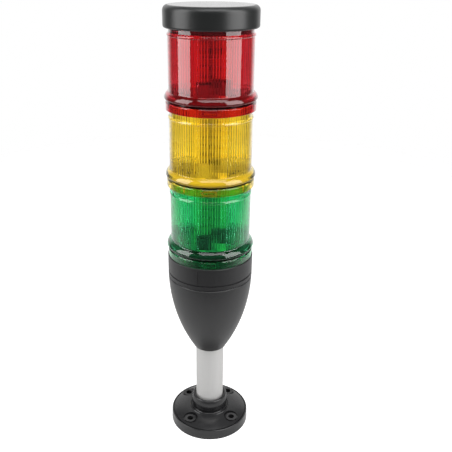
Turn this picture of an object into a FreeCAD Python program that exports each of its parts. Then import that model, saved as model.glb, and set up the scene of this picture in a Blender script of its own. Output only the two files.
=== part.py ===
"""Three-tier stack light on a tube and foot: a bayonet tower of the 70 mm class.

Units are millimetres. The floor is z = 0, the tower's axis is Z, the front
faces -Y, and the origin is the centre of the foot's underside. Each module
has its own height h, which starts at 0 at the bottom edge of its collar.
"""
import FreeCAD
import Part
import math
import os

# ---- driving dimensions -------------------------------------------------
FOOT_R = 35.8             # mounting foot
FOOT_RIM_TOP = 9.3
FOOT_DOME_TOP = 13.2      # where the dome meets the hub
HOLE_PCD = 54.0           # four fixing holes for M5
HOLE_R = 2.75
BOSS_R = 5.2              # flat bosses that the fixing screws clamp
BOSS_TOP = 11.7
POCKET_R = 6.7            # clearance round each boss, sunk into the dome
POCKET_FLOOR = 10.3
RIB_T = 1.8
HUB_R = 16.75             # widest part of the bulged hub
HUB_TOP = 26.4

TUBE_R = 12.5             # standard 25 mm aluminium tube
TUBE_WALL = 1.5
TUBE_LENGTH = 100.0
TUBE_FOOT = 3.0           # height of the ledge the tube stands on
SLIP = 0.05               # radial gap where pieces slide together by hand
RUN = 0.3                 # gap between pieces that turn against each other

HEAD_R = 36.2             # base head and widest part of the cone
CONE_ARC_R = 147.0        # the cone's sweep is one large arc
CONE_FOOT = 81.2
CONE_TOP = 153.9
HEAD_FOOT = 154.2
REVEAL_Z = 158.5          # groove round the head
REVEAL_DEPTH = 0.8
HEAD_TOP = 174.0
SHELL = 2.4               # wall of the black housings
SLEEVE_TOP = TUBE_FOOT + TUBE_LENGTH + 2.0
GRUB_Z = 93.0             # screw that holds the cone on the tube
POST_X = 27.0             # posts for the two screws between head and cone
POST_R = 3.3
HEAD_STUB_R = 12.5        # contact disc of the base and of each module
TERMINALS = 7
TERMINAL_STEP = 6.2

PITCH = 62.0              # height that each light module adds
LENS_R = 33.2             # clear body
BEAD_R = 36.55            # rounded bead over the collar
SKIRT_R = 35.6            # collar below the bead
SKIRT_BORE = 34.2
SHOULDER_H = 14.4         # where the collar's shoulder meets the body
RIDGE_H = 55.9            # ridge round the body, with a round shoulder above it
NECK_R = 32.5             # plain neck between the ridge and the next collar
FLUTES = 80
FLUTE_TIP_R = 29.9        # crests of the flutes inside the lens
FLUTE_ROOT_R = 30.05

SPIGOT_R = 32.6           # spigot that the next collar slides over
SPIGOT_BORE = 30.2
SPIGOT_H = 7.2
SEAL_R = (SPIGOT_R + SPIGOT_BORE) / 2
SEAL_HALF = 0.6          # half width of the seal's groove
SEAL_DEPTH = 2.2
LUG_R = 33.9              # bayonet lugs on the spigot
LUG_LOW = 4.0
LUG_HIGH = 6.3
LUG_COUNT = 4
LUG_TURN = -95.0          # direction of the first lug, degrees from +X
LUG_SPAN = 22.0
LEDGE_R = 33.0            # ledges inside the collar that run under the lugs
LEDGE_LOW = 1.0
LEDGE_SPAN = 24.0
TWIST = 25.0              # turn that frees a module
STOP_SPAN = 2.6

CAP_R = 36.45
CAP_LOW = -1.0            # the cap's skirt hangs a little below its seat
CAP_HEIGHT = 15.3
CAP_EDGE = 4.2            # radius of the top edge
CAP_RIM = 1.8             # radius of the lower edge
CAP_DIP = -4.6            # inner ring that reaches down inside the top neck

CARRIER_R = 33.4          # contact carrier inside each collar
CARRIER_LOW = 8.0
CARRIER_TOP = 10.3
TOWERS = ((-6.5, -18.5, 11.0, 7.0), (9.5, -6.3, 8.0, 7.0), (-6.0, 14.0, 8.0, 6.0))
TOWER_TOP = 22.0
TOWER_CORNER = 1.2
BOARD_T = 1.6
DRIVER_R = 25.8           # round driver board that lies on the carrier
DRIVER_TOP = CARRIER_TOP + BOARD_T
BOARD_W = 26.0            # upright board for the light sources
BOARD_TOP = 57.0
LED_W = 5.0
LED_H = 4.2
LED_T = 1.5
LED_X = 8.6               # two columns of light sources on each side
LED_STEP = 6.4
LED_LOW = 21.5
HEAD_DISC_LOW = 66.2      # contact disc that meets the next module
HEAD_DISC_TOP = 69.0
PAD_TRACKS = (4.4, 7.4, 10.4)
PAD_T = 0.2

UP = FreeCAD.Vector(0, 0, 1)
ORIGIN = FreeCAD.Vector(0, 0, 0)


# ---- shared form helpers ------------------------------------------------
def at(x, y, z=0.0):
    return FreeCAD.Vector(x, y, z)


def polar(radius, degrees, z=0.0):
    turn = math.radians(degrees)
    return at(radius * math.cos(turn), radius * math.sin(turn), z)


def turned(start, *steps):
    """Solid turned about Z from a closed outline of (radius, z) points.

    A step is the next corner, or a pair of points: an arc through the first
    that ends at the second.
    """
    edges = []
    here = at(start[0], 0, start[1])
    for step in steps + (start,):
        if isinstance(step[0], tuple):
            through = at(step[0][0], 0, step[0][1])
            there = at(step[1][0], 0, step[1][1])
            edges.append(Part.Arc(here, through, there).toShape())
        else:
            there = at(step[0], 0, step[1])
            edges.append(Part.LineSegment(here, there).toShape())
        here = there
    return Part.Face(Part.Wire(edges)).revolve(ORIGIN, UP, 360)


def disc(radius, low, high, x=0.0, y=0.0):
    return Part.makeCylinder(radius, high - low, at(x, y, low), UP)


def ring(outer, inner, low, high):
    return disc(outer, low, high).cut(disc(inner, low - 1, high + 1))


def block(width, depth, low, high, x=0.0, y=0.0):
    corner = at(x - width / 2, y - depth / 2, low)
    return Part.makeBox(width, depth, high - low, corner)


def turn_about_axis(shape, degrees):
    copy = shape.copy()
    copy.rotate(ORIGIN, UP, degrees)
    return copy


def sector(inner, outer, low, high, middle, span):
    """Part of a ring, span degrees wide, centred on the middle direction."""
    corners = [at(inner, 0, low), at(outer, 0, low), at(outer, 0, high), at(inner, 0, high)]
    face = Part.Face(Part.makePolygon(corners + corners[:1]))
    return turn_about_axis(face.revolve(ORIGIN, UP, span), middle - span / 2)


def round_block(width, depth, low, high, corner, x=0.0, y=0.0):
    """Block with its four upright edges rounded."""
    body = block(width, depth, low, high, x, y)
    upright = [e for e in body.Edges if abs(e.BoundBox.ZLength - (high - low)) < 1e-6]
    return body.makeFillet(corner, upright)


def fused(body, pieces):
    """Body with each piece joined to it in turn."""
    for piece in pieces:
        body = body.fuse(piece)
    return body


def lifted(shape, height):
    copy = shape.copy()
    copy.translate(at(0, 0, height))
    return copy


def lug_directions():
    return [LUG_TURN + 360.0 / LUG_COUNT * i for i in range(LUG_COUNT)]


def save(name, *shapes):
    shape = shapes[0] if len(shapes) == 1 else Part.makeCompound(list(shapes))
    shape.exportStep(os.path.join("parts", name + ".step"))


# ---- foot and tube ------------------------------------------------------
def foot_dome():
    """Outside of the foot: rim, fine groove, dome, ring step and bulged hub."""
    rim = FOOT_R - 0.3
    lip = FOOT_RIM_TOP
    hub_foot = FOOT_DOME_TOP
    return turned(
        (0, 0), (FOOT_R, 0), (rim, lip - 0.6),
        ((rim - 0.2, lip - 0.15), (rim - 0.65, lip)), (rim - 0.9, lip - 0.9), (rim - 1.5, lip - 0.9),
        (rim - 1.8, lip + 0.1),
        ((26.5, 12.1), (18.6, hub_foot)), (18.3, hub_foot + 0.4), (17.6, hub_foot + 0.4),
        (17.2, hub_foot - 0.1), ((16.0, hub_foot + 0.1), (15.9, hub_foot + 1.2)),
        ((HUB_R, 18.6), (15.7, HUB_TOP - 1.2)), ((15.3, HUB_TOP - 0.3), (14.5, HUB_TOP)),
        (0, HUB_TOP))


def foot_underside():
    """Hollow below the dome, left open between the hub socket and the rim."""
    return turned((HUB_R - 0.9, -1), (FOOT_R - 2.4, -1), (FOOT_R - 2.6, 6.6), (HUB_R - 0.9, 10.0))


def foot_ribs():
    """Eight upright ribs and the four screw columns under the dome."""
    ribs = []
    for i in range(8):
        rib = block(FOOT_R - HUB_R, RIB_T, 0.6, POCKET_FLOOR, (FOOT_R + HUB_R) / 2 - 1.2)
        ribs.append(turn_about_axis(rib, 45 * i))
    columns = [disc(4.7, 0, POCKET_FLOOR, p.x, p.y) for p in foot_holes()]
    return ribs + columns


def foot_holes():
    return [polar(HOLE_PCD / 2, 45 + 90 * i) for i in range(4)]


def mounting_foot():
    dome = foot_dome()
    ribs = [rib.common(dome) for rib in foot_ribs()]
    foot = fused(dome.cut(foot_underside()), ribs)
    for hole in foot_holes():
        foot = foot.cut(disc(POCKET_R, POCKET_FLOOR, HUB_TOP, hole.x, hole.y))
        foot = foot.fuse(disc(BOSS_R, 8.2, BOSS_TOP, hole.x, hole.y))
    hub = turned((HUB_R - 1, 9), (HUB_R - 0.85, FOOT_DOME_TOP + 1.2), (14.0, HUB_TOP - 0.5),
                 (11, HUB_TOP - 0.5), (11, 9))
    foot = foot.fuse(hub.common(dome))
    for hole in foot_holes():
        foot = foot.cut(disc(HOLE_R, -1, 20, hole.x, hole.y))
    socket = turned((0, TUBE_FOOT), (TUBE_R + SLIP, TUBE_FOOT), (TUBE_R + SLIP, HUB_TOP - 1.6),
                    (TUBE_R + 1.2, HUB_TOP + 0.1), (0, HUB_TOP + 0.1))
    foot = foot.cut(socket).cut(disc(TUBE_R - TUBE_WALL - 0.4, -1, TUBE_FOOT + 1))
    return foot.removeSplitter()


def support_tube():
    top = TUBE_FOOT + TUBE_LENGTH
    wall = ring(TUBE_R, TUBE_R - TUBE_WALL, TUBE_FOOT, top)
    across = 2 * TUBE_R
    ends = [e for e in wall.Edges
            if abs(e.BoundBox.XLength - across) < 0.01 and e.BoundBox.ZLength < 0.01]
    return wall.makeChamfer(0.3, ends)


# ---- base: cone housing, head and terminals -----------------------------
def cone_radius(z, inset=0.0):
    """Radius of the cone at a height; inset moves the arc inwards."""
    arc = CONE_ARC_R - inset
    return HEAD_R - CONE_ARC_R + math.sqrt(arc ** 2 - (z - REVEAL_Z) ** 2)


def cone_arc(low, high, inset=0.0):
    """Arc step for an outline, which ends at the height high."""
    middle = (low + high) / 2
    return (cone_radius(middle, inset), middle), (cone_radius(high, inset), high)


def cone_outside():
    foot = CONE_FOOT + 1.0
    neck = cone_radius(foot)
    return turned(
        (0, CONE_FOOT), (neck - 1.2, CONE_FOOT),
        ((neck - 0.35, CONE_FOOT + 0.3), (neck, foot)), cone_arc(foot, CONE_TOP - 0.5),
        (HEAD_R - 0.6, CONE_TOP), (0, CONE_TOP))


def cone_hollow(floor):
    return turned(
        (TUBE_R + 2.6, floor), (cone_radius(floor, SHELL), floor),
        cone_arc(floor, CONE_TOP + 0.5, SHELL), (0, CONE_TOP + 0.5), (0, SLEEVE_TOP),
        (TUBE_R + 2.6, SLEEVE_TOP))


def sleeve_ribs(outside):
    """Six ribs that tie the tube sleeve to the cone's wall."""
    ribs = []
    for i in range(6):
        rib = block(20, 1.8, CONE_FOOT + 2, SLEEVE_TOP - 1, TUBE_R + 2 + 10)
        ribs.append(turn_about_axis(rib, 60 * i + 30).common(outside))
    return ribs


def screw_posts(outside):
    return [disc(POST_R, 104, CONE_TOP - 6.2, side * POST_X).common(outside) for side in (-1, 1)]


def base_housing():
    outside = cone_outside()
    housing = outside.cut(cone_hollow(90.0))
    housing = fused(housing, sleeve_ribs(outside) + screw_posts(outside))
    bore = disc(TUBE_R + SLIP, CONE_FOOT - 1, TUBE_FOOT + TUBE_LENGTH)
    passage = disc(TUBE_R - TUBE_WALL - 0.3, CONE_FOOT, SLEEVE_TOP + 1)
    housing = housing.cut(bore).cut(passage)
    for side in (-1, 1):
        housing = housing.cut(disc(1.55, CONE_TOP - 22, CONE_TOP, side * POST_X))
    grub = Part.makeCylinder(2.05, 20, at(0, TUBE_R - 1, GRUB_Z), at(0, 1, 0))
    return housing.cut(grub).removeSplitter()


def tube_grub_screw():
    """Socket grub screw in the rear of the cone, which holds the tube."""
    start = TUBE_R + SLIP
    back = cone_radius(GRUB_Z) - 1.0
    screw = Part.makeCylinder(2.0, back - start, at(0, start, GRUB_Z), at(0, 1, 0))
    flats = [polar(1.15, 60 * i) for i in range(7)]
    face = Part.Face(Part.makePolygon([at(p.x, back - 2.0, GRUB_Z + p.y) for p in flats]))
    return screw.cut(face.extrude(at(0, 3, 0)))


def spigot(low, bore=SPIGOT_BORE):
    """Open ring with bayonet lugs and a seal groove that a collar slides over."""
    body = ring(SPIGOT_R, bore, low, SPIGOT_H)
    lugs = [sector(SPIGOT_R - 0.4, LUG_R, LUG_LOW, LUG_HIGH, t, LUG_SPAN) for t in lug_directions()]
    groove = ring(SEAL_R + SEAL_HALF, SEAL_R - SEAL_HALF, SPIGOT_H - SEAL_DEPTH, SPIGOT_H + 1)
    return fused(body, lugs).cut(groove)


def seal():
    """Tall rubber ring with a rounded crown, in the groove of a spigot."""
    inner = SEAL_R - SEAL_HALF + SLIP
    outer = SEAL_R + SEAL_HALF - SLIP
    low = SPIGOT_H - SEAL_DEPTH
    crown = CARRIER_LOW - RUN
    return turned((inner, low), (outer, low), (outer, crown - 0.4), ((SEAL_R, crown), (inner, crown - 0.4)))


def base_head():
    """Head of the base: plug-in skirt, reveal groove, deck and spigot."""
    low = CONE_TOP - 6.0
    plug = cone_radius(low, SHELL) - 0.1
    reveal = HEAD_R - REVEAL_DEPTH
    body = turned(
        (plug - 2.2, low), (plug, low), (plug, HEAD_FOOT), (HEAD_R - 0.6, HEAD_FOOT),
        (HEAD_R, HEAD_FOOT + 0.5), (HEAD_R, REVEAL_Z - 0.6), (reveal, REVEAL_Z - 0.35),
        (reveal, REVEAL_Z + 0.35), (HEAD_R, REVEAL_Z + 0.6), (HEAD_R, HEAD_TOP - 0.5),
        ((HEAD_R - 0.12, HEAD_TOP - 0.12), (HEAD_R - 0.5, HEAD_TOP)), (0, HEAD_TOP),
        (0, HEAD_TOP - 2.5), (plug - 2.2, HEAD_TOP - 2.5))
    stub = disc(HEAD_STUB_R, HEAD_TOP - 1, HEAD_TOP + HEAD_DISC_TOP - PITCH)
    body = fused(body, [lifted(spigot(-0.5), HEAD_TOP), stub])
    for side in (-1, 1):
        body = body.fuse(disc(POST_R, CONE_TOP - 6.0, HEAD_TOP - 1, side * POST_X))
        body = body.cut(disc(1.7, CONE_TOP - 10, HEAD_TOP + 1, side * POST_X))
    return body.removeSplitter()


def terminal_block():
    """Row of terminal chambers under the deck, open below for the wires."""
    width = TERMINALS * TERMINAL_STEP + 1.2
    top = HEAD_TOP - 2.5
    body = block(width, 15, top - 12.5, top, 0, 4)
    for x in terminal_places():
        body = body.cut(block(4.4, 4.2, top - 13, top - 4.5, x, 0.2))
        body = body.cut(disc(2.05, top - 13, top - 3.0, x, 7.4))
    return body


def terminal_places():
    first = -(TERMINALS - 1) / 2 * TERMINAL_STEP
    return [first + TERMINAL_STEP * i for i in range(TERMINALS)]


def terminal_screws():
    low = HEAD_TOP - 2.5 - 11.0
    screws = []
    for x in terminal_places():
        screw = disc(1.95, low, low + 1.8, x, 7.4).fuse(disc(1.4, low + 1.5, low + 7.5, x, 7.4))
        screws.append(screw.cut(block(4.4, 0.6, low - 1, low + 0.8, x, 7.4)))
    return screws


def head_screws():
    """Two pan-head screws through the deck into the cone's posts."""
    screws = []
    for side in (-1, 1):
        shank = disc(1.5, CONE_TOP - 14, HEAD_TOP + 0.1, side * POST_X)
        pan = disc(2.9, HEAD_TOP, HEAD_TOP + 1.9, side * POST_X)
        cross = block(3.2, 0.7, HEAD_TOP + 0.9, HEAD_TOP + 3, side * POST_X)
        slot = block(0.7, 3.2, HEAD_TOP + 0.9, HEAD_TOP + 3, side * POST_X)
        screws.append(shank.fuse(pan).cut(cross).cut(slot))
    return screws


# ---- light module -------------------------------------------------------
def lens_outside():
    """Outside of a lens: collar skirt, groove, bead, shoulder, body and ridge."""
    low = 0.2
    return turned(
        (0, low), (SKIRT_R - 0.3, low), ((SKIRT_R - 0.09, low + 0.09), (SKIRT_R, low + 0.3)),
        (SKIRT_R, 5.6), ((SKIRT_R - 0.12, 5.88), (SKIRT_R - 0.4, 6.0)), (SKIRT_R - 0.7, 6.4),
        (SKIRT_R - 0.7, 8.0), ((BEAD_R - 0.3, 8.8), (BEAD_R, 10.0)),
        ((BEAD_R - 0.85, 12.2), (LENS_R + 0.9, SHOULDER_H - 0.5)),
        ((LENS_R + 0.2, SHOULDER_H - 0.2), (LENS_R, SHOULDER_H + 0.4)), (LENS_R, RIDGE_H - 0.6),
        ((LENS_R + 0.45, RIDGE_H - 0.3), (LENS_R + 0.6, RIDGE_H + 0.1)),
        ((LENS_R + 0.15, RIDGE_H + 1.3), (NECK_R, RIDGE_H + 2.0)), (NECK_R, PITCH), (0, PITCH))


def collar_bore():
    """Hollow of the collar, with the seat of the contact carrier above it."""
    seat = CARRIER_R + SLIP
    return turned((0, -1), (SKIRT_BORE, -1), (SKIRT_BORE, CARRIER_LOW - 0.2), (seat, CARRIER_LOW - 0.2),
                  (seat, CARRIER_TOP), (FLUTE_ROOT_R, CARRIER_TOP + 2.6),
                  (FLUTE_ROOT_R, SHOULDER_H + 1.5), (0, SHOULDER_H + 1.5))


def flute_bore():
    """Inner space of the lens, with a round flute cut for each step round it."""
    step = 360.0 / FLUTES
    low = SHOULDER_H + 1.0
    arcs = []
    for i in range(FLUTES):
        tip = polar(FLUTE_TIP_R, step * i, low)
        root = polar(FLUTE_ROOT_R, step * (i + 0.5), low)
        arcs.append(Part.Arc(tip, root, polar(FLUTE_TIP_R, step * (i + 1), low)).toShape())
    return Part.Face(Part.Wire(arcs)).extrude(at(0, 0, RIDGE_H - 0.4 - low))


def bayonet_ledges():
    """Ledges inside a collar that hold the lugs, each with a stop at both ends."""
    pieces = []
    for turn in lug_directions():
        wall = SKIRT_BORE + 0.3
        edge = LUG_SPAN / 2 + 0.4 + STOP_SPAN / 2
        pieces.append(sector(LEDGE_R, wall, LEDGE_LOW, LUG_LOW - RUN, turn, LEDGE_SPAN))
        pieces.append(sector(LEDGE_R, wall, LEDGE_LOW, LUG_HIGH, turn + edge, STOP_SPAN))
        pieces.append(sector(LEDGE_R, wall, LEDGE_LOW, LUG_HIGH, turn - edge - TWIST, STOP_SPAN))
    return pieces


def lens():
    """One moulded lens: collar, fluted body and the spigot for the next module."""
    body = lens_outside().cut(collar_bore()).cut(flute_bore())
    body = body.cut(disc(SPIGOT_BORE, RIDGE_H - 0.5, PITCH + 1))
    body = fused(body, bayonet_ledges() + [lifted(spigot(-0.5), PITCH)])
    return body.removeSplitter()


def tower(x, y, width, depth, clearance=0.0):
    """Upright post for a connector; clearance widens it into its cut-out."""
    wide = width + 2 * clearance
    deep = depth + 2 * clearance
    return round_block(wide, deep, CARRIER_TOP - 0.5, TOWER_TOP, TOWER_CORNER, x, y)


def contact_carrier():
    """Disc inside the collar, with a low rim round the board and three towers."""
    body = disc(CARRIER_R, CARRIER_LOW, CARRIER_TOP)
    rim = ring(DRIVER_R + 1.7, DRIVER_R + 0.2, CARRIER_TOP - 0.5, DRIVER_TOP)
    return fused(body, [rim] + [tower(*place) for place in TOWERS]).removeSplitter()


def driver_board():
    """Round board on the carrier, cut out where the towers pass through it."""
    board = disc(DRIVER_R, CARRIER_TOP, DRIVER_TOP)
    for place in TOWERS:
        board = board.cut(tower(*place, clearance=0.3))
    return board


def led_board():
    """Upright board across the axis that carries the light sources."""
    board = block(BOARD_W, BOARD_T, DRIVER_TOP, BOARD_TOP)
    for side in (-1, 1):
        board = board.cut(block(4, 3, DRIVER_TOP - 1, DRIVER_TOP + 3, side * LED_X))
    return board


def led_chips():
    """Light sources: two columns on each face of the board."""
    chips = []
    for face in (-1, 1):
        for x in (-LED_X, LED_X):
            for row in range(5):
                z = LED_LOW + row * LED_STEP
                chips.append(block(LED_W, LED_T, z, z + LED_H, x, face * (BOARD_T + LED_T) / 2))
    return chips


def contact_head():
    """Contact disc at the top of a module, on a stem that grips the board."""
    stem = block(BOARD_W - 4, BOARD_T + 3.6, BOARD_TOP - 3, HEAD_DISC_LOW + 0.5)
    slot = block(BOARD_W, BOARD_T + 0.1, BOARD_TOP - 4, BOARD_TOP)
    return disc(HEAD_STUB_R, HEAD_DISC_LOW, HEAD_DISC_TOP).fuse(stem).cut(slot).removeSplitter()


def contact_pads():
    """Two arcs of plated metal on each of the three tracks."""
    low = HEAD_DISC_TOP - PITCH
    pads = []
    for track in PAD_TRACKS:
        for turn in (0, 180):
            pads.append(sector(track - 0.9, track + 0.9, low, low + PAD_T, turn, 70))
    return pads


def contact_springs():
    """Bronze leaf contacts below the carrier, one over each pad."""
    tip = HEAD_DISC_TOP - PITCH + PAD_T + RUN
    springs = []
    for i, track in enumerate(PAD_TRACKS):
        for turn in (0, 180):
            x = track * (1 if turn == 0 else -1)
            leaf = block(1.1, 3.0, tip, CARRIER_LOW, x, 0.4 * (i - 1))
            springs.append(leaf)
    return springs


# ---- cap ----------------------------------------------------------------
def cap():
    """Top cap: a deep lid with ledges that take the top module's lugs."""
    low = CAP_LOW
    top = CAP_HEIGHT
    bulge = CAP_EDGE * (1 - math.cos(math.radians(45)))
    curl = CAP_RIM * (1 - math.cos(math.radians(45)))
    outside = turned(
        (0, low), (CAP_R - CAP_RIM, low), ((CAP_R - curl, low + curl), (CAP_R, low + CAP_RIM)),
        (CAP_R, top - CAP_EDGE), ((CAP_R - bulge, top - bulge), (CAP_R - CAP_EDGE, top)), (0, top))
    roof = CARRIER_LOW + 2.4
    hollow = turned(
        (0, low - 1), (SKIRT_BORE, low - 1), (SKIRT_BORE, CARRIER_LOW), (SKIRT_BORE - 1.5, roof), (0, roof))
    press = ring(SPIGOT_R - 0.2, SPIGOT_BORE + 0.2, CARRIER_LOW, CARRIER_LOW + 3)
    dip = ring(SPIGOT_BORE - RUN, SPIGOT_BORE - 1.8, CAP_DIP, roof + 0.5)
    body = fused(outside.cut(hollow), [press, dip])
    for i in range(4):
        rib = block(SPIGOT_BORE - 3, 1.6, CARRIER_LOW + 1.0, CARRIER_LOW + 2.7, SPIGOT_BORE / 2 + 2.5)
        body = body.fuse(turn_about_axis(rib, 90 * i + 40))
    return fused(body, bayonet_ledges()).removeSplitter()


# ---- build --------------------------------------------------------------
def save_module(colour, base):
    """The eight nodes of one light module, whose collar starts at base."""
    save(colour + "_lens", lifted(lens(), base))
    save(colour + "_contact_carrier", lifted(contact_carrier(), base))
    save(colour + "_driver_board", lifted(driver_board(), base))
    save(colour + "_led_board", lifted(led_board(), base))
    save(colour + "_leds", *[lifted(chip, base) for chip in led_chips()])
    save(colour + "_contact_head", lifted(contact_head(), base))
    save(colour + "_contact_pads", *[lifted(pad, base + PITCH) for pad in contact_pads()])
    save(colour + "_contact_springs", *[lifted(leaf, base) for leaf in contact_springs()])
    save(colour + "_seal", lifted(seal(), base + PITCH))


os.makedirs("parts", exist_ok=True)
save("mounting_foot", mounting_foot())
save("support_tube", support_tube())
save("base_housing", base_housing())
save("tube_grub_screw", tube_grub_screw())
save("base_head", base_head())
save("head_screws", *head_screws())
save("terminal_block", terminal_block())
save("terminal_screws", *terminal_screws())
save("base_contact_pads", *[lifted(pad, HEAD_TOP) for pad in contact_pads()])
save("base_seal", lifted(seal(), HEAD_TOP))
for tier, colour in enumerate(("green", "yellow", "red")):
    save_module(colour, HEAD_TOP + PITCH * tier)
save("cap", lifted(cap(), HEAD_TOP + 3 * PITCH))
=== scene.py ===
import math

import bmesh
import bpy
from mathutils import Euler, Matrix, Vector


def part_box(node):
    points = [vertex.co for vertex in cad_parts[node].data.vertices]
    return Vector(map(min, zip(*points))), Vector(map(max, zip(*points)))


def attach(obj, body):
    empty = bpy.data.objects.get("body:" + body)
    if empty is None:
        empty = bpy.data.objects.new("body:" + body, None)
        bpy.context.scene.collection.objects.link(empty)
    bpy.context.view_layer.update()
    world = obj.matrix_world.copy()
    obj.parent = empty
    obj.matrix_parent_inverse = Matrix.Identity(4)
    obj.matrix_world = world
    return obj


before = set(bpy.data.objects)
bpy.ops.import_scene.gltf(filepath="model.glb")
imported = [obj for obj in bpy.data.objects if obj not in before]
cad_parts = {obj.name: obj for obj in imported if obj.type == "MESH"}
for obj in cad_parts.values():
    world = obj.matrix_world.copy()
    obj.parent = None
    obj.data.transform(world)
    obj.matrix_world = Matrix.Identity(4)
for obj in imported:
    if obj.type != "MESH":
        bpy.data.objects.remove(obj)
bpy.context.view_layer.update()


# ---- Mounting foot ------------------------------------------------------
# Injection-moulded black foot, semi-gloss, with a fine grain left by the
# mould and a little dust on its upward faces. Four M5 screws hold it down.
def new_material(name):
    """Empty material; returns it with its node tree and its Principled node."""
    material = bpy.data.materials.new(name)
    material.use_nodes = True
    tree = material.node_tree
    return material, tree, tree.nodes["Principled BSDF"]


def dress(node_name, material):
    """Gives a CAD node its finish, in place of the plain one it came with."""
    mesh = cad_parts[node_name].data
    mesh.materials.clear()
    mesh.materials.append(material)


def link(tree, out_socket, in_socket):
    tree.links.new(out_socket, in_socket)


def node(tree, kind, **inputs):
    """New node of a kind, with some of its inputs set by name."""
    made = tree.nodes.new(kind)
    for name, value in inputs.items():
        made.inputs[name.replace("_", " ")].default_value = value
    return made


def math_node(tree, operation, first, second=None, third=None):
    """Math node whose operands are sockets or numbers; returns its result."""
    made = tree.nodes.new("ShaderNodeMath")
    made.operation = operation
    for place, operand in enumerate((first, second, third)):
        if isinstance(operand, (int, float)):
            made.inputs[place].default_value = operand
        elif operand is not None:
            link(tree, operand, made.inputs[place])
    return made.outputs["Value"]


def mixed(tree, factor, first, second):
    """Colour between two colours, each a socket or an RGB triple."""
    made = tree.nodes.new("ShaderNodeMix")
    made.data_type = "RGBA"
    link(tree, factor, made.inputs["Factor"])
    for name, colour in (("A", first), ("B", second)):
        if isinstance(colour, tuple):
            made.inputs[name].default_value = (*colour, 1)
        else:
            link(tree, colour, made.inputs[name])
    return made.outputs["Result"]


def rescaled(tree, value, low, high, from_low=0.0, from_high=1.0):
    """Value carried from one range to another, held at the ends."""
    made = tree.nodes.new("ShaderNodeMapRange")
    limits = (("From Min", from_low), ("From Max", from_high), ("To Min", low), ("To Max", high))
    for name, number in limits:
        made.inputs[name].default_value = number
    link(tree, value, made.inputs["Value"])
    return made.outputs["Result"]


def new_group(name, inputs, outputs):
    """Empty node group; returns its tree, its input node and its output node."""
    tree = bpy.data.node_groups.new(name, "ShaderNodeTree")
    for socket, kind, value in inputs:
        tree.interface.new_socket(socket, in_out="INPUT", socket_type=kind).default_value = value
    for socket, kind in outputs:
        tree.interface.new_socket(socket, in_out="OUTPUT", socket_type=kind)
    return tree, tree.nodes.new("NodeGroupInput"), tree.nodes.new("NodeGroupOutput")


def moulded_group():
    """Grain, patchy gloss and settled dust of a moulded plastic surface."""
    tree, source, result = new_group(
        "moulded_surface",
        [("Color", "NodeSocketColor", (0.03, 0.03, 0.03, 1)),
         ("Dust Color", "NodeSocketColor", (0.2, 0.2, 0.2, 1)),
         ("Dust", "NodeSocketFloat", 0.1), ("Roughness", "NodeSocketFloat", 0.4),
         ("Patchiness", "NodeSocketFloat", 0.12), ("Grain Scale", "NodeSocketFloat", 3000.0)],
        [("Color", "NodeSocketColor"), ("Roughness", "NodeSocketFloat"), ("Height", "NodeSocketFloat")])
    place = tree.nodes.new("ShaderNodeTexCoord")
    grain = node(tree, "ShaderNodeTexNoise", Detail=2.0, Roughness=0.6)
    patches = node(tree, "ShaderNodeTexNoise", Scale=60.0, Detail=4.0, Roughness=0.55)
    specks = node(tree, "ShaderNodeTexNoise", Scale=900.0, Detail=3.0, Roughness=0.7)
    for texture in (grain, patches, specks):
        link(tree, place.outputs["Object"], texture.inputs["Vector"])
    link(tree, source.outputs["Grain Scale"], grain.inputs["Scale"])
    surface = tree.nodes.new("ShaderNodeNewGeometry")
    upright = tree.nodes.new("ShaderNodeSeparateXYZ")
    link(tree, surface.outputs["Normal"], upright.inputs["Vector"])
    lying = rescaled(tree, upright.outputs["Z"], 0.0, 1.0, from_low=0.2)
    settled = math_node(tree, "MULTIPLY", lying, specks.outputs["Fac"])
    amount = math_node(tree, "MULTIPLY", settled, source.outputs["Dust"])
    dusted = mixed(tree, amount, source.outputs["Color"], source.outputs["Dust Color"])
    link(tree, dusted, result.inputs["Color"])
    centred = math_node(tree, "SUBTRACT", patches.outputs["Fac"], 0.5)
    rough = math_node(tree, "MULTIPLY_ADD", centred, source.outputs["Patchiness"],
                      source.outputs["Roughness"])
    link(tree, rough, result.inputs["Roughness"])
    link(tree, grain.outputs["Fac"], result.inputs["Height"])
    return tree


MOULDED = moulded_group()
FINE_GRAIN = 0.00002    # depth of the grain left by a polished mould


def moulded_plastic(name, color, roughness, dust, grain_depth=FINE_GRAIN, specular=0.5):
    """Opaque moulded plastic: the shared surface group feeding one Principled node."""
    material, tree, shader = new_material(name)
    surface = tree.nodes.new("ShaderNodeGroup")
    surface.node_tree = MOULDED
    surface.inputs["Color"].default_value = (*color, 1)
    surface.inputs["Roughness"].default_value = roughness
    surface.inputs["Dust"].default_value = dust
    shader.inputs["Specular IOR Level"].default_value = specular
    bump = node(tree, "ShaderNodeBump", Strength=0.6, Distance=grain_depth)
    link(tree, surface.outputs["Color"], shader.inputs["Base Color"])
    link(tree, surface.outputs["Roughness"], shader.inputs["Roughness"])
    link(tree, surface.outputs["Height"], bump.inputs["Height"])
    link(tree, bump.outputs["Normal"], shader.inputs["Normal"])
    return material


dress("mounting_foot", moulded_plastic("foot_plastic", (0.017, 0.017, 0.018), 0.2, 0.1))

# ---- Support tube -------------------------------------------------------
# Drawn aluminium tube, satin anodised. Drawing leaves very fine lines along
# its length, and handling leaves slight smears.
DRAWN_DARK = (0.6, 0.595, 0.587)
DRAWN_LIGHT = (0.68, 0.675, 0.665)

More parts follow.
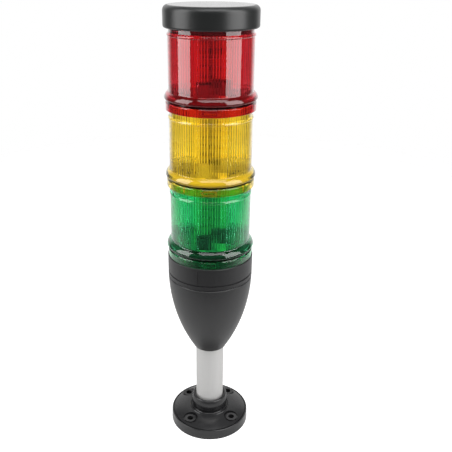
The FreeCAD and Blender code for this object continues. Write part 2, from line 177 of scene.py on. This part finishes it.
tube_metal, tree, shader = new_material("tube_aluminium")
shader.inputs["Metallic"].default_value = 0.5
place = tree.nodes.new("ShaderNodeTexCoord")
along = node(tree, "ShaderNodeMapping", Scale=(1.0, 1.0, 0.012))
lines = node(tree, "ShaderNodeTexNoise", Scale=2600.0, Detail=3.0, Roughness=0.65)
smears = node(tree, "ShaderNodeTexNoise", Scale=45.0, Detail=3.0, Roughness=0.5)
link(tree, place.outputs["Object"], along.inputs["Vector"])
link(tree, along.outputs["Vector"], lines.inputs["Vector"])
link(tree, place.outputs["Object"], smears.inputs["Vector"])
link(tree, mixed(tree, lines.outputs["Fac"], DRAWN_DARK, DRAWN_LIGHT), shader.inputs["Base Color"])
link(tree, rescaled(tree, smears.outputs["Fac"], 0.5, 0.64), shader.inputs["Roughness"])
bump = node(tree, "ShaderNodeBump", Strength=0.25, Distance=0.00001)
link(tree, lines.outputs["Fac"], bump.inputs["Height"])
link(tree, bump.outputs["Normal"], shader.inputs["Normal"])
dress("support_tube", tube_metal)

# ---- Cone housing and head ----------------------------------------------
# Satin black mouldings. The head plugs into the cone, and two fine raised
# lines on it show where the first module is turned home.
housing_plastic = moulded_plastic("housing_plastic", (0.017, 0.017, 0.018), 0.38, 0.08)
for name in ("base_housing", "base_head"):
    dress(name, housing_plastic)

CAMERA_TURN = math.radians(-93.65)      # side of the tower that is its front
HEAD_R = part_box("base_head")[1].x
HEAD_DECK = 0.174                       # top face of the head
INDEX_TURN = CAMERA_TURN - math.radians(16)
INDEX_APART = 0.019                     # half the angle between the two lines, radians
INDEX_LINE = (0.0006, 0.00045, 0.0125)
INDEX_MIDDLE = HEAD_DECK - INDEX_LINE[2] / 2 - 0.001


def new_piece(name, mesh, material, body):
    """Finished mesh made an object that rides on a body."""
    bmesh.ops.recalc_face_normals(mesh, faces=mesh.faces)
    data = bpy.data.meshes.new(name)
    mesh.to_mesh(data)
    mesh.free()
    data.materials.append(material)
    piece = bpy.data.objects.new(name, data)
    bpy.context.scene.collection.objects.link(piece)
    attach(piece, body)


def add_block(mesh, size, centre, edge=0.0, turn=0.0, segments=2):
    """Block with bevelled edges, set at a centre and turned about the tower's axis."""
    made = bmesh.ops.create_cube(mesh, size=1.0)
    corners = made["verts"]
    bmesh.ops.scale(mesh, vec=size, verts=corners)
    if edge:
        sides = {side for corner in corners for side in corner.link_edges}
        made = bmesh.ops.bevel(mesh, geom=list(sides), offset=edge, offset_type="OFFSET", affect="EDGES",
                               segments=segments, profile=0.5, material=-1)
        corners = list({v for face in made["faces"] for v in face.verts})
    bmesh.ops.translate(mesh, vec=centre, verts=corners)
    bmesh.ops.rotate(mesh, cent=(0, 0, 0), matrix=Matrix.Rotation(turn, 3, "Z"), verts=corners)


index_lines = bmesh.new()
for side in (-1, 1):
    add_block(index_lines, INDEX_LINE, (HEAD_R, 0, INDEX_MIDDLE), edge=0.00012,
              turn=INDEX_TURN + side * INDEX_APART)
new_piece("head_index_lines", index_lines, housing_plastic, "base")

# ---- Fixings, terminals and contacts ------------------------------------
# Zinc-plated steel screws, a grey terminal block, and contact pads of plated
# spring bronze. The seals are black rubber rings laid in their grooves.
dress("terminal_block", moulded_plastic("terminal_plastic", (0.16, 0.17, 0.175), 0.45, 0.1))


def plated_metal(name, light, dark, roughness):
    """Metal whose plating varies a little in tone and gloss."""
    material, tree, shader = new_material(name)
    shader.inputs["Metallic"].default_value = 1.0
    place = tree.nodes.new("ShaderNodeTexCoord")
    cloud = node(tree, "ShaderNodeTexNoise", Scale=700.0, Detail=4.0, Roughness=0.6)
    link(tree, place.outputs["Object"], cloud.inputs["Vector"])
    link(tree, mixed(tree, cloud.outputs["Fac"], dark, light), shader.inputs["Base Color"])
    worn = rescaled(tree, cloud.outputs["Fac"], roughness - 0.08, roughness + 0.1)
    link(tree, worn, shader.inputs["Roughness"])
    return material


zinc = plated_metal("zinc_plate", (0.66, 0.66, 0.68), (0.45, 0.46, 0.5), 0.3)
bronze = plated_metal("contact_bronze", (0.83, 0.66, 0.36), (0.6, 0.42, 0.2), 0.28)
for name in ("head_screws", "terminal_screws", "tube_grub_screw"):
    dress(name, zinc)
dress("base_contact_pads", bronze)
rubber = moulded_plastic("seal_rubber", (0.012, 0.012, 0.012), 0.7, 0.2, 0.00003, specular=0.3)
dress("base_seal", rubber)

# ---- Lens modules -------------------------------------------------------
# Each lens is one clear tinted moulding, polished outside and fluted inside.
# It screws to nothing: lugs and ledges hold it, and its collar is turned home.
LENS_COLORS = {"green": (0.09, 0.61, 0.29), "yellow": (0.93, 0.75, 0.14), "red": (0.74, 0.075, 0.1)}
MODULE_FOOT = {"green": HEAD_DECK, "yellow": HEAD_DECK + 0.062, "red": HEAD_DECK + 0.124}
FLUTES = 80
FLUTE_R = 0.0304        # the fluted inner wall lies inside this radius
FLUTE_DEPTH = 0.00045
WAVE_SHARE = 0.07       # height of the mould's waves, as a share of a flute's
THICK_TINT = 1.35       # the collar's tint is this power of the wall's
GROOVE_SHADE_SHARE = 0.2              # share of the tint kept where shade is painted into the collar's groove
SKIRT_TOP = 0.0066      # below this the collar's wall is thicker, so its tint is deeper
GROOVE_H = 0.0081       # middle of the collar's groove, where shade is painted into the tint
GROOVE_HALF = (0.0014, 0.0022)
GROOVE_R = 0.034        # the collar and its groove lie outside this radius


def tinted_lens(name, color, foot, frost=0.0):
    """Clear tinted plastic with a polished skin, uneven flutes and painted shade in the collar's groove.

    The module stands at height foot, and frost is added to the skin's roughness.
    """
    material, tree, shader = new_material(name)
    shader.inputs["Transmission Weight"].default_value = 1.0
    shader.inputs["IOR"].default_value = 1.25
    shader.inputs["Coat IOR"].default_value = 1.5
    shader.inputs["Coat Roughness"].default_value = 0.03
    place = tree.nodes.new("ShaderNodeTexCoord")
    waves = node(tree, "ShaderNodeTexNoise", Scale=40.0, Detail=1.0, Roughness=0.4)
    flow = node(tree, "ShaderNodeTexNoise", Scale=25.0, Detail=2.0)
    for texture in (waves, flow):
        link(tree, place.outputs["Object"], texture.inputs["Vector"])
    deep = tuple(0.94 * channel for channel in color)
    link(tree, rescaled(tree, flow.outputs["Fac"], 0.02 + frost, 0.05 + frost), shader.inputs["Roughness"])
    axes = tree.nodes.new("ShaderNodeSeparateXYZ")
    link(tree, place.outputs["Object"], axes.inputs["Vector"])
    around = math_node(tree, "ARCTAN2", axes.outputs["Y"], axes.outputs["X"])
    swing = math_node(tree, "SINE", math_node(tree, "MULTIPLY", around, FLUTES / 2))
    crest = math_node(tree, "ABSOLUTE", swing)
    squares = math_node(tree, "MULTIPLY", axes.outputs["X"], axes.outputs["X"])
    squares = math_node(tree, "MULTIPLY_ADD", axes.outputs["Y"], axes.outputs["Y"], squares)
    inside = math_node(tree, "LESS_THAN", squares, FLUTE_R ** 2)
    # Painted shade: a band round the collar's groove, outside GROOVE_R, gets a darker tint and a weaker
    # coat.
    above_groove = math_node(tree, "SUBTRACT", axes.outputs["Z"], foot + GROOVE_H)
    off_groove = math_node(tree, "ABSOLUTE", above_groove)
    in_groove = rescaled(tree, off_groove, 1.0, 0.0, *GROOVE_HALF)
    outside = math_node(tree, "GREATER_THAN", squares, GROOVE_R ** 2)
    painted_groove_shade = math_node(tree, "MULTIPLY", in_groove, outside)
    groove_shade_tint = tuple(GROOVE_SHADE_SHARE * channel for channel in color)
    low = math_node(tree, "LESS_THAN", axes.outputs["Z"], foot + SKIRT_TOP)
    on_skirt = math_node(tree, "MULTIPLY", low, outside)
    thick = tuple(channel ** THICK_TINT for channel in color)
    clean = mixed(tree, on_skirt, mixed(tree, flow.outputs["Fac"], deep, color), thick)
    # The painted shade in the groove darkens the tint here and lowers the coat's weight below.
    link(tree, mixed(tree, painted_groove_shade, clean, groove_shade_tint), shader.inputs["Base Color"])
    link(tree, rescaled(tree, painted_groove_shade, 1.0, 0.35), shader.inputs["Coat Weight"])
    turned = node(tree, "ShaderNodeCombineXYZ")
    link(tree, around, turned.inputs["X"])
    sharper = node(tree, "ShaderNodeTexNoise", Scale=6.0, Detail=2.0, Roughness=0.6)
    link(tree, turned.outputs["Vector"], sharper.inputs["Vector"])
    depth = rescaled(tree, sharper.outputs["Fac"], 0.3, 1.1, from_low=0.35, from_high=0.65)
    drawn = math_node(tree, "MULTIPLY", depth, inside)
    fluted = math_node(tree, "MULTIPLY", crest, drawn)
    uneven = math_node(tree, "MULTIPLY_ADD", waves.outputs["Fac"], WAVE_SHARE, fluted)
    bump = node(tree, "ShaderNodeBump", Strength=1.0, Distance=FLUTE_DEPTH)
    link(tree, uneven, bump.inputs["Height"])
    link(tree, bump.outputs["Normal"], shader.inputs["Normal"])
    path = tree.nodes.new("ShaderNodeLightPath")
    through = tree.nodes.new("ShaderNodeBsdfTransparent")
    through.inputs["Color"].default_value = (*(math.sqrt(channel) for channel in color), 1)
    mix = tree.nodes.new("ShaderNodeMixShader")
    link(tree, path.outputs["Is Shadow Ray"], mix.inputs["Fac"])
    link(tree, shader.outputs["BSDF"], mix.inputs[1])
    link(tree, through.outputs["BSDF"], mix.inputs[2])
    link(tree, mix.outputs["Shader"], tree.nodes["Material Output"].inputs["Surface"])
    return material


matt_plastic = {}
for colour, tint_color in LENS_COLORS.items():
    dress(colour + "_lens", tinted_lens(colour + "_lens", tint_color, MODULE_FOOT[colour]))
    matt_plastic[colour] = tinted_lens(colour + "_lens_matt", tint_color, MODULE_FOOT[colour], frost=0.4)

# ---- Inside the modules -------------------------------------------------
# A contact carrier with connector towers, a round driver board, an upright
# board with yellow light sources, and a pale contact head that grips it.
TOWER_FOOT = 0.0122     # height in a module where the towers begin
LED_LOW = 0.0215        # height in a module of the lowest light source
LED_HALF = 0.0021
LED_HALF_PITCH = 0.0032
LED_PATCH = (0.0015, 0.0017)    # radius over which the phosphor patch ends
COLUMN_X = 0.0086       # how far a column of light sources stands from the board's middle
COLUMN_HALF = 0.0031
DISC_TONES = {"green": (0.014, 0.014, 0.014), "yellow": (0.62, 0.62, 0.56), "red": (0.2, 0.2, 0.18)}
TOWER_TONES = {"green": (0.012, 0.012, 0.012), "yellow": (0.42, 0.42, 0.36), "red": (0.2, 0.2, 0.18)}


def carrier_plastic(colour):
    """Disc with connector towers, the two mouldings of one contact carrier."""
    material, tree, shader = new_material(colour + "_carrier")
    shader.inputs["Specular IOR Level"].default_value = 0.5
    surface = tree.nodes.new("ShaderNodeGroup")
    surface.node_tree = MOULDED
    surface.inputs["Roughness"].default_value = 0.38
    surface.inputs["Dust"].default_value = 0.05
    place = tree.nodes.new("ShaderNodeTexCoord")
    axes = tree.nodes.new("ShaderNodeSeparateXYZ")
    link(tree, place.outputs["Object"], axes.inputs["Vector"])
    on_tower = math_node(tree, "GREATER_THAN", axes.outputs["Z"], MODULE_FOOT[colour] + TOWER_FOOT)
    link(tree, mixed(tree, on_tower, DISC_TONES[colour], TOWER_TONES[colour]), surface.inputs["Color"])
    link(tree, surface.outputs["Color"], shader.inputs["Base Color"])
    link(tree, surface.outputs["Roughness"], shader.inputs["Roughness"])
    return material


def led_package(colour):
    """White package with a round patch of yellow phosphor on each light source."""
    material, tree, shader = new_material(colour + "_led_package")
    place = tree.nodes.new("ShaderNodeTexCoord")
    axes = tree.nodes.new("ShaderNodeSeparateXYZ")
    link(tree, place.outputs["Object"], axes.inputs["Vector"])
    middle = MODULE_FOOT[colour] + LED_LOW + LED_HALF
    height = math_node(tree, "SUBTRACT", axes.outputs["Z"], middle)
    row = math_node(tree, "PINGPONG", height, LED_HALF_PITCH)
    aside = math_node(tree, "SUBTRACT", math_node(tree, "ABSOLUTE", axes.outputs["X"]), COLUMN_X)
    apart = math_node(tree, "SQRT", math_node(tree, "ADD", math_node(tree, "MULTIPLY", row, row),
                                               math_node(tree, "MULTIPLY", aside, aside)))
    patch = rescaled(tree, apart, 1.0, 0.0, *LED_PATCH)
    link(tree, mixed(tree, patch, (0.88, 0.84, 0.55), (0.92, 0.8, 0.28)), shader.inputs["Base Color"])
    link(tree, rescaled(tree, patch, 0.3, 0.15), shader.inputs["Roughness"])
    return material


def board_laminate():
    """Laminate with faint tracks, and a pale strip under each column of light sources."""
    material, tree, shader = new_material("board_laminate")
    place = tree.nodes.new("ShaderNodeTexCoord")
    tracks = tree.nodes.new("ShaderNodeTexBrick")
    for name, value in (("Scale", 1.0), ("Mortar Size", 0.00022), ("Mortar Smooth", 0.2),
                        ("Brick Width", 0.0052), ("Row Height", 0.0017)):
        tracks.inputs[name].default_value = value
    tracks.inputs["Color1"].default_value = (0.38, 0.38, 0.33, 1)
    tracks.inputs["Color2"].default_value = (0.33, 0.33, 0.27, 1)
    tracks.inputs["Mortar"].default_value = (0.22, 0.22, 0.17, 1)
    upright = node(tree, "ShaderNodeMapping", Rotation=(math.radians(90), 0, 0))
    mottle = node(tree, "ShaderNodeTexNoise", Scale=300.0, Detail=3.0)
    link(tree, place.outputs["Object"], upright.inputs["Vector"])
    link(tree, upright.outputs["Vector"], tracks.inputs["Vector"])
    link(tree, place.outputs["Object"], mottle.inputs["Vector"])
    axes = tree.nodes.new("ShaderNodeSeparateXYZ")
    link(tree, place.outputs["Object"], axes.inputs["Vector"])
    across = math_node(tree, "SUBTRACT", math_node(tree, "ABSOLUTE", axes.outputs["X"]), COLUMN_X)
    in_column = math_node(tree, "LESS_THAN", math_node(tree, "ABSOLUTE", across), COLUMN_HALF)
    coated = mixed(tree, in_column, tracks.outputs["Color"], (0.9, 0.86, 0.5))
    link(tree, coated, shader.inputs["Base Color"])
    link(tree, rescaled(tree, mottle.outputs["Fac"], 0.28, 0.42), shader.inputs["Roughness"])
    return material


insert_plastic = moulded_plastic("insert_plastic", (0.6, 0.6, 0.56), 0.4, 0.05)
laminate = board_laminate()
for colour in LENS_COLORS:
    dress(colour + "_contact_carrier", carrier_plastic(colour))
    dress(colour + "_driver_board", laminate)
    dress(colour + "_led_board", laminate)
    dress(colour + "_leds", led_package(colour))
    dress(colour + "_contact_head", insert_plastic)
    dress(colour + "_contact_pads", bronze)
    dress(colour + "_contact_springs", bronze)
    dress(colour + "_seal", rubber)

# ---- Small parts on the boards ------------------------------------------
# Soldered components on both faces of each upright board and on the driver
# board, and the toothed tops of the black connector towers. All are black.
COMPONENTS = (  # across, height in the module, width, length, thickness
    (-5.5, 50.0, 1.4, 1.4, 1.0), (5.4, 44.4, 1.6, 1.6, 1.0), (-2.0, 39.3, 1.2, 1.4, 0.8),
    (2.1, 39.3, 1.2, 1.4, 0.8), (0.0, 39.3, 10.5, 0.35, 0.3), (-4.6, 24.9, 1.3, 2.6, 1.0),
    (-1.9, 25.2, 1.3, 2.8, 1.0), (3.6, 31.0, 1.8, 3.0, 0.9), (-3.0, 33.0, 2.4, 1.4, 0.8),
    (2.6, 18.4, 3.2, 4.2, 1.4), (-3.2, 17.6, 2.2, 2.2, 1.2), (0.4, 52.6, 2.0, 1.2, 0.8))
RED_COMPONENTS = ((-5.3, 44.0, 1.4, 3.6, 1.2), (4.9, 43.6, 3.2, 4.6, 1.8))
BOARD_HALF = 0.0008
DRIVER_TOP = 0.0119
TOWER_TOP = 0.022
DRIVER_PARTS = (  # place on the driver board and length
    (16.0, -12.0, 3.0), (19.5, -6.5, 2.2), (13.0, -17.5, 2.0), (-17.0, -9.0, 2.6),
    (-20.0, -2.0, 2.0), (17.5, 9.0, 3.2), (8.0, 17.0, 2.4), (-15.5, 14.0, 2.2))
DRIVER_PART_HEIGHT = 0.0012
TOOTH = (0.0011, 0.005, 0.0016)
TOOTH_PITCH = 0.002
TOWERS = ((-0.0065, -0.0185, 0.011), (0.0095, -0.0063, 0.008), (-0.006, 0.014, 0.008))
TOOTHED = ("green", "red")      # the yellow module's pale towers have smooth tops
component_black = moulded_plastic("component_black", (0.01, 0.01, 0.011), 0.35, 0.0)
for colour, foot in MODULE_FOOT.items():
    parts = bmesh.new()
    soldered = COMPONENTS + RED_COMPONENTS if colour == "red" else COMPONENTS
    for face in (-1, 1):
        for across, height, width, length, thick in soldered:
            add_block(parts, (width / 1000, thick / 1000, length / 1000),
                      (-face * across / 1000, face * (BOARD_HALF + thick / 2000), foot + height / 1000),
                      edge=0.0001, segments=1)
    for x, y, size in DRIVER_PARTS:
        add_block(parts, (size / 1000, 0.6 * size / 1000, DRIVER_PART_HEIGHT),
                  (x / 1000, y / 1000, foot + DRIVER_TOP + DRIVER_PART_HEIGHT / 2), edge=0.0001, segments=1)
    for x, y, width in TOWERS if colour in TOOTHED else ():
        count = round(width / TOOTH_PITCH)
        for tooth in range(count):
            along = x + (tooth - (count - 1) / 2) * TOOTH_PITCH
            add_block(parts, TOOTH, (along, y, foot + TOWER_TOP + TOOTH[2] / 2), edge=0.0002, segments=1)
    new_piece(colour + "_board_parts", parts, component_black, colour + "_module")

# ---- Twist marks --------------------------------------------------------
# Each collar carries a raised arrow outline that points the way it is turned
# off. It is part of the lens moulding: the same plastic with a matt skin.
MARK_TURN = CAMERA_TURN - math.radians(2)
MARK_H = 0.0034         # height of the outline's middle in a module
MARK_BAR = (0.0004, 0.0008)
MARK_PROUD = 0.0001
SKIRT_R = 0.0356
MARK_BARS = (  # across, up, length, tilt
    (1.0, 2.1, 9.0, 0), (1.0, -2.1, 9.0, 0), (5.5, 0, 4.2, 90),
    (-4.6, 1.05, 3.0, 40), (-4.6, -1.05, 3.0, -40))
for colour, foot in MODULE_FOOT.items():
    outline = bmesh.new()
    for across, rise, long, tilt in MARK_BARS:
        made = bmesh.ops.create_cube(outline, size=1.0)
        corners = made["verts"]
        bmesh.ops.scale(outline, vec=(long / 1000, *MARK_BAR), verts=corners)
        tilted = Matrix.Rotation(-math.radians(tilt), 3, "Y")
        bmesh.ops.rotate(outline, cent=(0, 0, 0), matrix=tilted, verts=corners)
        bmesh.ops.translate(outline, vec=(across / 1000, 0, rise / 1000 * 0.75), verts=corners)
    bmesh.ops.subdivide_edges(outline, edges=[e for e in outline.edges if e.calc_length() > 0.001], cuts=4,
                              use_grid_fill=True)
    for corner in outline.verts:
        around = MARK_TURN + corner.co.x / SKIRT_R
        out = SKIRT_R + MARK_PROUD - corner.co.y
        corner.co = Vector((out * math.cos(around), out * math.sin(around), foot + MARK_H + corner.co.z))
    new_piece(colour + "_twist_mark", outline, matt_plastic[colour], colour + "_module")

# ---- Cap ----------------------------------------------------------------
# Black moulded lid in a satin finish. Its flat top is handled most, so it is
# polished a little by hands, and dust lies on it.
cap_plastic = moulded_plastic("cap_plastic", (0.016, 0.017, 0.017), 0.34, 0.3, specular=0.45)
tree = cap_plastic.node_tree
shader = tree.nodes["Principled BSDF"]
skin = shader.inputs["Roughness"].links[0].from_socket
surface = tree.nodes.new("ShaderNodeNewGeometry")
upright = tree.nodes.new("ShaderNodeSeparateXYZ")
link(tree, surface.outputs["Normal"], upright.inputs["Vector"])
polish = rescaled(tree, upright.outputs["Z"], 0.0, 0.25, from_low=0.97)
link(tree, math_node(tree, "SUBTRACT", skin, polish), shader.inputs["Roughness"])
dress("cap", cap_plastic)

# ---- Studio -------------------------------------------------------------
# A pale floor that fades into a white surround, two tall soft boxes, one on
# each side of the object, and a wide one overhead.
CAMERA_DISTANCE = 0.4897
CAMERA_HEIGHT = 0.4057
CAMERA_PITCH = math.radians(23.02)
CAMERA_ROLL = math.radians(0.267)
FOCAL_LENGTH = 50.02
SIDE_SHIFT = 0.0346


def stood_at(turn, distance, height):
    """Place at a distance from the tower's axis, in a direction, at a height."""
    return distance * math.cos(turn), distance * math.sin(turn), height


camera_data = bpy.data.cameras.new("camera")
camera_data.lens = FOCAL_LENGTH
camera_data.sensor_width = 36.0
camera_data.shift_x = SIDE_SHIFT
camera = bpy.data.objects.new("camera", camera_data)
bpy.context.scene.collection.objects.link(camera)
camera.location = stood_at(CAMERA_TURN, CAMERA_DISTANCE, CAMERA_HEIGHT)
heading = CAMERA_TURN + math.radians(90)
aim = Euler((math.radians(90) - CAMERA_PITCH, 0, heading)).to_matrix()
camera.rotation_euler = (aim @ Matrix.Rotation(CAMERA_ROLL, 3, "Z")).to_euler()
bpy.context.scene.camera = camera


def soft_box(name, turn_from_camera, rise, distance, size, radiance, target):
    """Rectangular lamp that faces a point on the tower's axis.

    It stands turn_from_camera degrees round the tower and rise degrees above
    the level of its target.
    """
    area = bpy.data.lights.new(name, "AREA")
    area.shape = "RECTANGLE"
    area.size, area.size_y = size
    area.energy = radiance * math.pi * size[0] * size[1]
    lamp = bpy.data.objects.new(name, area)
    bpy.context.scene.collection.objects.link(lamp)
    turn = CAMERA_TURN + math.radians(turn_from_camera)
    tilt = math.radians(rise)
    lamp.location = stood_at(turn, distance * math.cos(tilt), target + distance * math.sin(tilt))
    lamp.rotation_euler = (math.radians(90) - tilt, 0, turn + math.radians(90))
    lamp.visible_camera = False
    lamp.visible_transmission = False


SOFT_BOX_MIDDLE = 0.597     # so the tall boxes end just above the level of the head
soft_box("soft_box_left", -74, 0, 0.62, (0.44, 0.84), 4.6, SOFT_BOX_MIDDLE)
soft_box("soft_box_right", 60.5, 0, 0.62, (0.5, 0.84), 4.6, SOFT_BOX_MIDDLE)
soft_box("soft_box_above", 8, 64, 1.0, (0.95, 0.6), 3.2, 0.3)

AMBIENT = 0.06          # light from the dark side of the studio
BACKDROP_LIGHT = 0.8    # what the white backdrop behind the object adds to it
BACKDROP_SIDE = (-0.8, -0.58)   # the backdrop's soft edges, as parts of a direction
BACKDROP_TOP = (0.6, 0.85)
world = bpy.data.worlds.new("studio")
bpy.context.scene.world = world
world.use_nodes = True
tree = world.node_tree
tree.nodes.clear()
place = tree.nodes.new("ShaderNodeTexCoord")
turned = node(tree, "ShaderNodeMapping", Rotation=(0, 0, -CAMERA_TURN))
axes = tree.nodes.new("ShaderNodeSeparateXYZ")
link(tree, place.outputs["Generated"], turned.inputs["Vector"])
link(tree, turned.outputs["Vector"], axes.inputs["Vector"])
behind = rescaled(tree, axes.outputs["X"], 1.0, 0.0, *BACKDROP_SIDE)
low_down = rescaled(tree, axes.outputs["Z"], 1.0, 0.0, *BACKDROP_TOP)
backdrop = math_node(tree, "MULTIPLY", behind, low_down)
path = tree.nodes.new("ShaderNodeLightPath")
mirrored = math_node(tree, "MULTIPLY", path.outputs["Is Glossy Ray"], backdrop)
seen = math_node(tree, "MAXIMUM", path.outputs["Is Camera Ray"], path.outputs["Is Transmission Ray"])
fill = math_node(tree, "MULTIPLY_ADD", backdrop, BACKDROP_LIGHT, AMBIENT)
shown = math_node(tree, "MAXIMUM", math_node(tree, "MAXIMUM", mirrored, seen), fill)
back = tree.nodes.new("ShaderNodeBackground")
out = tree.nodes.new("ShaderNodeOutputWorld")
link(tree, shown, back.inputs["Strength"])
link(tree, back.outputs["Background"], out.inputs["Surface"])
back.inputs["Color"].default_value = (1, 1, 1, 1)

FLOOR_R = 0.8
FLOOR_BACK = 0.35       # the floor's middle lies this far behind the object
FLOOR_GREY = 0.6
FLOOR_SEEN = 0.8        # glow that brings the floor to white for the eye, and in gloss
FLOOR_MIRRORED = 0.35
FADE = (0.5, 0.72)      # distance from the floor's middle over which it fades away

floor_mesh = bmesh.new()
bmesh.ops.create_circle(floor_mesh, cap_ends=True, segments=96, radius=FLOOR_R)
floor_data = bpy.data.meshes.new("floor")
floor_mesh.to_mesh(floor_data)
floor_mesh.free()
floor = bpy.data.objects.new("floor", floor_data)
floor.location = stood_at(CAMERA_TURN, -FLOOR_BACK, 0)
bpy.context.scene.collection.objects.link(floor)
floor_paper, tree, shader = new_material("floor_paper")
shader.inputs["Base Color"].default_value = (FLOOR_GREY, FLOOR_GREY, FLOOR_GREY, 1)
shader.inputs["Roughness"].default_value = 0.9
shader.inputs["Specular IOR Level"].default_value = 0.1
path = tree.nodes.new("ShaderNodeLightPath")
seen = math_node(tree, "MAXIMUM", path.outputs["Is Camera Ray"], path.outputs["Is Transmission Ray"])
seen = math_node(tree, "MULTIPLY", seen, FLOOR_SEEN)
glow = math_node(tree, "MULTIPLY_ADD", path.outputs["Is Glossy Ray"], FLOOR_MIRRORED, seen)
shader.inputs["Emission Color"].default_value = (1, 1, 1, 1)
link(tree, glow, shader.inputs["Emission Strength"])
place = tree.nodes.new("ShaderNodeTexCoord")
span = tree.nodes.new("ShaderNodeVectorMath")
span.operation = "LENGTH"
link(tree, place.outputs["Object"], span.inputs["Vector"])
fade = rescaled(tree, span.outputs["Value"], 0.0, 1.0, *FADE)
clear = tree.nodes.new("ShaderNodeBsdfTransparent")
mix = tree.nodes.new("ShaderNodeMixShader")
link(tree, fade, mix.inputs["Fac"])
link(tree, shader.outputs["BSDF"], mix.inputs[1])
link(tree, clear.outputs["BSDF"], mix.inputs[2])
link(tree, mix.outputs["Shader"], tree.nodes["Material Output"].inputs["Surface"])
floor_data.materials.append(floor_paper)

bpy.context.scene.view_settings.view_transform = "Standard"
